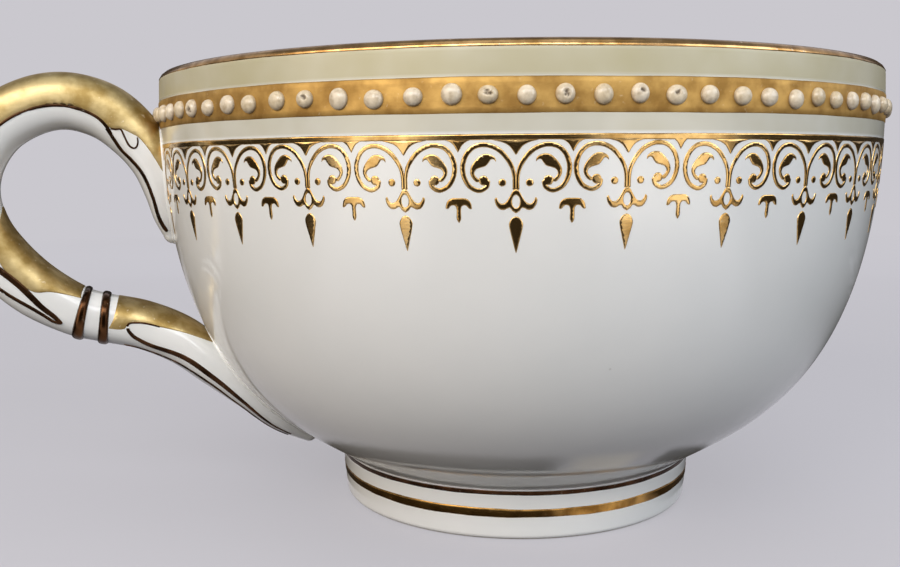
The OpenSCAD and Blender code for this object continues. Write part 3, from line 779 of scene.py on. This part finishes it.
def smooth_loop(rows, steps=6):
    """Points round a smooth closed line through a few rows."""
    rows = np.asarray(rows, float)
    closed = np.concatenate([rows[-1:], rows, rows[:2]])
    return through(closed, 1 + np.arange(len(rows) * steps) / steps)


def mirrored_loop(half, across=0.0):
    """Closed outline of a shape that is the same on both sides of a line at a place across."""
    right = smooth_line(half)
    left = right[::-1] * (-1, 1)
    return np.concatenate([right, left[np.abs(left[:, 0]) > 1e-6]]) + (across, 0)


def depth_inside(points, loop):
    """How far each point lies inside a closed loop, negative outside it."""
    start, end = loop, np.roll(loop, -1, axis=0)
    along = end - start
    reach = points[:, None] - start
    t = np.clip((reach * along).sum(-1) / np.maximum((along ** 2).sum(-1), 1e-12), 0, 1)
    gap = np.linalg.norm(reach - t[..., None] * along, axis=-1).min(1)
    level = points[:, 1:2]
    crosses = (start[:, 1] > level) != (end[:, 1] > level)
    rise = np.where(along[:, 1] == 0, 1, along[:, 1])
    at = start[:, 0] + (level - start[:, 1]) * along[:, 0] / rise
    inside = (crosses & (points[:, :1] < at)).sum(1) % 2 == 1
    return np.where(inside, gap, -gap)


def inset(loop, depth):
    """The points of a closed loop moved in from it by a depth."""
    along = np.roll(loop, -1, axis=0) - np.roll(loop, 1, axis=0)
    along /= np.maximum(np.linalg.norm(along, axis=1, keepdims=True), 1e-9)
    x, y = loop.T
    turn = np.sign((x * np.roll(y, -1) - y * np.roll(x, -1)).sum())
    return loop + np.stack([-along[:, 1], along[:, 0]], -1) * turn * depth


def pillow(loops, holes=(), step=0.2, edge=0.07):
    """Flat mesh of a shape drawn by closed loops: its points, its triangles, and each point's share of the
    full thickness, which rises from nothing at the outline over the width of the edge."""
    def depth(points):
        solid = np.max([depth_inside(points, loop) for loop in loops], axis=0)
        return np.min([solid, *(-depth_inside(points, hole) for hole in holes)], axis=0)

    rims = [*loops, *holes]
    corners = np.concatenate(rims)
    low, high = corners.min(0), corners.max(0)
    levels = np.arange(low[1], high[1], step * math.sqrt(0.75))
    across = np.arange(low[0], high[0], step)
    grid = np.array([(x + step / 2 * (k % 2), y) for k, y in enumerate(levels) for x in across])
    inner = [grid[depth(grid) > edge + step / 3]]
    for reach in (edge / 2, edge):
        ring = [inset(loop, reach) for loop in loops] + [inset(hole, -reach) for hole in holes]
        ring = np.concatenate(ring)
        inner.append(ring[depth(ring) > 0.8 * reach])
    inner = np.concatenate(inner)
    starts = np.cumsum([0, *(len(rim) for rim in rims)])
    edges = [
        (start + k, start + (k + 1) % len(rim))
        for start, rim in zip(starts.tolist(), rims) for k in range(len(rim))]
    flat, _, faces, *_ = delaunay_2d_cdt([Vector(p) for p in (*corners, *inner)], edges, [], 0, 1e-5)
    flat = np.array(flat)
    share = np.sin(np.clip(depth(flat) / edge, 0, 1) * np.pi / 2)
    # Points on the outline have no thickness, and a triangle between three of them is left out.
    share[share < 0.001] = 0
    faces = np.array(faces)
    kept = (depth(flat[faces].mean(1)) > 0) & (share[faces].max(1) > 0)
    return flat, faces[kept], share


def raised(place, shape, thickness=gild_t):
    """Points and faces of a thin solid with soft edges, put on the cup by a place for flat points."""
    flat, faces, share = shape
    inner = np.flatnonzero(share > 0)
    below = np.arange(len(flat))
    below[inner] = len(flat) + np.arange(len(inner))
    top = place(flat, (thickness + gild_sink) * share - gild_sink)
    bottom = place(flat[inner], np.full(len(inner), -gild_root))
    return np.concatenate([top, bottom]), np.concatenate([faces, below[faces][:, ::-1]])


def joined(parts):
    """Points and faces of several parts as one."""
    points, faces = [], []
    for part_points, part_faces in parts:
        start = len(points)
        points += list(part_points)
        faces += [tuple(int(start + k) for k in face) for face in part_faces]
    return points, faces


motif_count = 28
motif_turn = math.radians(-0.5)
half_pitch = math.pi * cup_r / motif_count
root_cover = 3.4
motif_draws = np.random.default_rng(21)
motif_shift = motif_draws.normal(0, 0.05, (motif_count, 2))
motif_scale = motif_draws.normal(1, 0.012, (motif_count, 1))
motif_tilt = motif_draws.normal(0, 0.008, motif_count)


def on_border(i):
    """Puts flat points, across and below the border line, on the wall at motif i."""
    middle = math.pi + 2 * math.pi * (i + 0.5) / motif_count + motif_turn

    def place(flat, lift):
        across, below = (flat * motif_scale[i] + motif_shift[i]).T
        below, across = below + across * motif_tilt[i], across - below * motif_tilt[i]
        angle = middle + across / cup_r
        r = wall_r(border_z - below) + lift
        return np.stack([r * np.cos(angle), r * np.sin(angle), border_z - below], -1)

    return place


def motif_piece(name, shapes):
    """One piece of every motif: each shape is repeated round the bowl, unless the handle's root hides it."""
    parts = []
    for i in range(motif_count):
        place = on_border(i)
        for shape in shapes:
            middle = place(shape[0].mean(0, keepdims=True), 0)[0]
            if middle[0] > 0 or abs(middle[1]) > root_cover:
                parts.append(raised(place, shape))
    piece = make_piece(name, *joined(parts), border_gold)
    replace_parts(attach(piece, "root"), name)


def mirrored(shape):
    """The mirror image of a flat shape."""
    flat, faces, share = shape
    return flat * (-1, 1), faces, share


dart_half = [(2.5, 0), (1.7, 0.18), (1.1, 0.36), (0.65, 0.62), (0.34, 0.98), (0.14, 1.3), (0, 1.45)]
small_dart_half = [(1.3, 0), (0.8, 0.2), (0.42, 0.5), (0.18, 0.9), (0, 1.2)]
motif_piece("gilt_darts", [
    pillow([mirrored_loop(dart_half)]), pillow([mirrored_loop(small_dart_half, half_pitch)])])


# Scrolls. A pair of brush strokes that rise from each fleuron, arch under the border line and curl in
# to a ball. Each swells on the arch and thins at the stem, as a loaded brush does.
def stroke(rows, scale=(1, 1)):
    """Outline of a brush stroke with round ends. Rows are across, along and width, in any two units that
    the scale turns to millimetres."""
    rows = np.array(rows, float)
    rows[:, :2] *= scale
    line = smooth_line(rows, 8)
    along = np.gradient(line[:, :2], axis=0)
    along /= np.linalg.norm(along, axis=1, keepdims=True)
    side = np.stack([-along[:, 1], along[:, 0]], -1)
    half = line[:, 2:] / 2
    bends = np.radians(np.arange(-60, 61, 30))[:, None]
    first = line[0, :2] - half[0] * (along[0] * np.cos(bends) + side[0] * np.sin(bends))
    last = line[-1, :2] + half[-1] * (along[-1] * np.cos(bends) - side[-1] * np.sin(bends))
    return np.concatenate([line[:, :2] + side * half, last, (line[:, :2] - side * half)[::-1], first])


scroll_rows = [
    (0.14, 4.55, 0.38), (0.15, 3.45, 0.38), (0.36, 2.5, 0.42), (0.96, 1.53, 0.46), (1.72, 0.85, 0.47),
    (2.74, 0.5, 0.47), (3.76, 0.66, 0.47), (4.5, 1.34, 0.48), (4.85, 2.36, 0.5), (4.74, 3.38, 0.48),
    (4.25, 4.22, 0.46), (3.4, 4.62, 0.45), (2.72, 4.32, 0.44), (2.56, 3.85, 0.46),
]
ball_place = (2.95, 3.7)
ball_r = 0.47
scroll = pillow([stroke(scroll_rows), arc(ball_place, ball_r, 0, 345, 23)])
motif_piece("gilt_scrolls", [scroll, mirrored(scroll)])

# Leaves. A hooked gold leaf inside each scroll, drawn in one press of the brush from its stem to its tip,
# and burnished with the rest of the border.
leaf_outline = [
    (1.8, 2.06), (1.9, 1.6), (2.45, 1.3), (3.1, 1.36), (3.65, 1.8), (4.08, 2.4), (4.2, 2.95), (4.02, 3.46),
    (3.6, 3.86), (3.2, 3.7), (3.62, 3.36), (3.78, 3.04), (3.6, 2.72), (3.2, 2.56), (2.75, 2.42), (2.45, 2.1),
    (2.25, 1.84), (2, 1.86),
]
leaf = pillow([smooth_loop(leaf_outline)])
motif_piece("gilt_leaves", [leaf, mirrored(leaf)])

# Dots. One round touch of gold on either side of each stem, set down with the tip of the brush
# and burnished.
dot_place = (1.25, 3.9)
dot_r = 0.37
dot = pillow([arc(dot_place, dot_r, 0, 345, 23)])
motif_piece("gilt_dots", [dot, mirrored(dot)])

# Fleurons. A three-lobed gold flower where the two stems of a motif meet, painted round an oval heart
# that is left open to the white glaze.
fleuron_half = [
    (0, 4.45), (0.3, 4.65), (0.62, 5.2), (0.95, 5.66), (1.34, 5.78), (1.62, 5.55), (1.78, 5.22), (1.97, 5.42),
    (1.87, 5.9), (1.53, 6.32), (1.08, 6.4), (0.6, 6.2), (0.34, 6.5), (0, 6.72),
]
heart_middle = (0, 5.62)
heart_half = (0.34, 0.58)
heart = np.array(heart_middle) + arc((0, 0), 1, 0, 345, 23) * heart_half
fleuron = pillow([mirrored_loop(fleuron_half)], holes=[heart])
motif_piece("gilt_fleurons", [fleuron])

# Spear drops. A long gold drop with a pointed end under each fleuron, pulled down in one stroke of a
# full brush.
spear_half = [(0, 6.94), (0.38, 7.12), (0.66, 7.62), (0.6, 8.2), (0.35, 9.2), (0.12, 10.1), (0, 10.45)]
motif_piece("gilt_spear_drops", [pillow([mirrored_loop(spear_half)])])

# Tassel drops. A small winged gold cap with a short tail, hung between each two motifs and filled in
# with a brush.
tassel_half = [
    (0, 5.3), (0.7, 5.34), (1.12, 5.68), (1.25, 6.28), (0.98, 6.3), (0.68, 6.02), (0.34, 6.06), (0.22, 6.42),
    (0.22, 7.25), (0, 7.66),
]
motif_piece("gilt_tassel_drops", [pillow([mirrored_loop(tassel_half, half_pitch)])])


# Foot lines. A hairline of gold where the foot meets the bowl and a broader line round its middle, both
# laid on the wheel. The hairline takes the dark brown line gold as painted shade, for it sits in the
# skirt's shadow, and the broad line keeps its shine.
def on_foot(level, lift):
    """Radius and height on the foot's outside at a height."""
    return foot_outer_r(level) + lift, level


foot_gold = fired_gold("brown_foot_gold", "#cda05a", "#86602e", (0.12, 0.24), 0.3)
line_gold = fired_gold("brown_line_gold", "#4f3522", "#281a10", (0.28, 0.38), 0.2)
foot_upper_line_h = 0.6
foot_lower_line_drop = 2.43
foot_lower_line_h = 1.14
upper_bottom = foot_top - foot_upper_line_h
# The dark brown of the hairline is painted shade: it stands for the skirt's shadow over it.
gilt_ring("gilt_foot_upper_line", on_foot, upper_bottom, foot_top, 0.03, 14, line_gold)
lower_top = foot_h - foot_lower_line_drop
lower_bottom = lower_top - foot_lower_line_h
gilt_ring("gilt_foot_lower_line", on_foot, lower_bottom, lower_top, 0.04, 15, foot_gold)

# Arch gilding. Gold covers the outside of the arch down to a brown line on each side and runs out in a
# point at the far end of the loop. Over the upper root a thin line draws a small lobed leaf.
handle_gold = fired_gold("burnished_handle_gold", "#c8b380", "#98804c", (0.4, 0.52), 0.45)
skin_scale = np.array([4.2, 0.062])
gold_depth = 0.3
line_rise = 1.6


def on_handle(flat, lift):
    """Puts flat points, along the loop and round it, on the handle."""
    s, turn = (flat / skin_scale).T
    return under_wall(handle_skin(s, turn, lift), gold_depth)


def handle_piece(name, patches, strokes):
    """Gold on the handle: broad patches, and lines drawn on the -Y side and its mirror image."""
    parts = []
    for outline in patches:
        parts.append(raised(on_handle, pillow([np.array(outline) * skin_scale], step=0.45, edge=0.15)))
    lines = []
    for rows in strokes:
        shape = pillow([stroke(rows, skin_scale)], step=0.3)
        points, faces = raised(on_handle, shape, line_rise * gild_t)
        lines += [(points, faces), (points * (1, -1, 1), faces)]
    piece = make_piece(name, *joined(parts + lines), handle_gold if patches else line_gold)
    if patches and lines:
        piece.data.materials.append(line_gold)
        first_point = sum(len(points) for points, _ in parts)
        for face in piece.data.polygons:
            face.material_index = int(face.vertices[0] >= first_point)
    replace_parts(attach(piece, "root"), name)


def both_sides(edge, middle):
    """Closed outline of a patch whose edge is drawn on the -Y side and mirrored about a turn."""
    near = smooth_line(edge, 5)
    far = near[::-1] * (1, -1) + (0, 2 * middle)
    return np.concatenate([near, far])


arch_edge = [
    (11.2, 96), (10.8, 130), (10.2, 160), (9.3, 182), (8.4, 187), (7.4, 187), (6.4, 190), (5.4, 194),
    (5, 198), (4.66, 203), (4.5, 198), (4.36, 190), (4.1, 183), (3.85, 178), (3.5, 177), (3, 175),
    (2.6, 168), (2.35, 150), (2.3, 120),
]
arch_line = [
    (9.6, 177, 0.2), (9.3, 182.5, 0.28), (8.4, 187.5, 0.34), (7.4, 187.5, 0.36), (6.4, 190.5, 0.38),
    (5.4, 194.8, 0.4), (5, 199, 0.42), (4.7, 205, 0.44), (4.5, 211, 0.46),
]
lobe_line = [
    (4.6, 203, 0.22), (4.48, 198, 0.24), (4.37, 191.5, 0.24), (4.16, 197, 0.26), (3.9, 203, 0.28),
    (3.72, 201, 0.28), (3.68, 194, 0.26), (3.76, 186, 0.24), (3.88, 180, 0.2),
]
handle_piece("gilt_handle_arch", [both_sides(arch_edge, 90)], [arch_line, lobe_line])

# Lower arm gilding. Gold covers the inside of the lower arm and narrows over a white leaf in front of the
# collars. Two brown gold lines edge the leaf and meet at its tip.
arm_edge = [
    (10.5, 262), (10.9, 230), (11.4, 200), (12, 180), (12.5, 178), (13, 181), (13.3, 198), (13.7, 211),
    (14.02, 217),
]
arm_lines = [
    [(10.6, 160, 0.3), (11.4, 166, 0.55), (12.1, 172, 0.75), (12.4, 175, 0.8), (12.7, 175, 0.8),
     (13.05, 170, 0.75), (13.3, 164, 0.7), (13.6, 158, 0.62), (13.8, 151, 0.5)],
    [(11, 122, 0.3), (11.7, 134, 0.4), (12.4, 144, 0.46), (13.05, 151, 0.48), (13.4, 150, 0.46),
     (13.66, 146, 0.46), (13.8, 149, 0.46)],
]
handle_piece("gilt_handle_lower_arm", [both_sides(arm_edge, 270)], arm_lines)

# Collars. Two raised rings round the lower arm, cast with the handle and gilded all round in brown gold.
# They lean along the arm a little, so that they stand nearer upright than it does.
collar_spans = [(14.07, 14.4), (14.87, 15.14)]
collar_rise = 0.28
collar_depth = 0.15
collar_lean = 0.1 * np.sin(np.radians(side_turns))
collar_gold = fired_gold("burnished_collar_gold", "#5f4027", "#301e13", (0.14, 0.24), 0.25)
collar_parts = []
for first, last in collar_spans:
    lifts = np.array([-gild_root, 0.6, 0.9, 1, 1, 1, 0.9, 0.6, -gild_root]) * collar_rise
    steps = np.linspace(first, last, lifts.size) + collar_lean[:, None]
    hoop = handle_skin(steps, side_turns[:, None], lifts[None, :])
    core = handle_skin((first + last) / 2 + collar_lean, side_turns, -collar_depth)
    hoop = np.concatenate([hoop, core[:, None]], axis=1)
    faces = grid_faces(handle_sides, lifts.size + 1, wrap_rows=True, wrap_columns=True)
    collar_parts.append((hoop.reshape(-1, 3), faces))
collars = make_piece("gilt_handle_collars", *joined(collar_parts), collar_gold)
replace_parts(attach(collars, "root"), "gilt_handle_collars")

# Lower root gilding. Gold runs from the second collar over the inside of the root to the wall of the bowl,
# and leaves a long white leaf bare on each side.
root_edge = [
    (15.16, 166), (15.4, 167), (15.56, 172), (15.64, 184), (15.95, 193), (16.35, 197), (16.8, 206),
    (17.2, 216), (17.6, 232), (17.9, 252),
]
handle_piece("gilt_handle_root_top", [both_sides(root_edge, 270)], [])

# Upper leaf edges. A brown gold line down the free edge of the upper tongue on each side, with a blob
# where the brush stopped.
handle_piece("gilt_upper_leaf_edges", [], [
    [(4.7, 207, 0.4), (4.33, 216, 0.48), (3.9, 224, 0.54), (3.35, 222, 0.58), (2.8, 218, 0.6),
     (2.3, 215, 0.6), (1.8, 215, 0.68), (1.2, 216, 0.82), (0.75, 214, 1.02), (0.4, 208, 1.15)]])

# Lower leaf edges. The white leaf on each side of the lower root has a thick brown gold line under it, a
# hairline over its tip, and a second thin line along the outer edge of the root.
handle_piece("gilt_lower_leaf_edges", [], [
    [(15.62, 174, 0.35), (15.7, 165, 0.46), (15.9, 155, 0.56), (16.35, 149, 0.64), (17, 156, 0.72),
     (17.5, 160, 0.8), (18, 161, 0.82), (18.5, 160, 0.8), (19, 156, 0.72), (19.6, 148, 0.6),
     (20.4, 142, 0.4)],
    [(15.6, 178, 0.25), (15.66, 187, 0.3), (15.97, 194, 0.3), (16.3, 197, 0.25)],
    [(15.6, 124, 0.28), (16.4, 128, 0.38), (17.24, 134, 0.44), (18.1, 140, 0.46), (18.8, 136, 0.44),
     (19.6, 128, 0.4), (20.4, 122, 0.3)],
])

bpy.context.scene.view_settings.view_transform = "Standard"
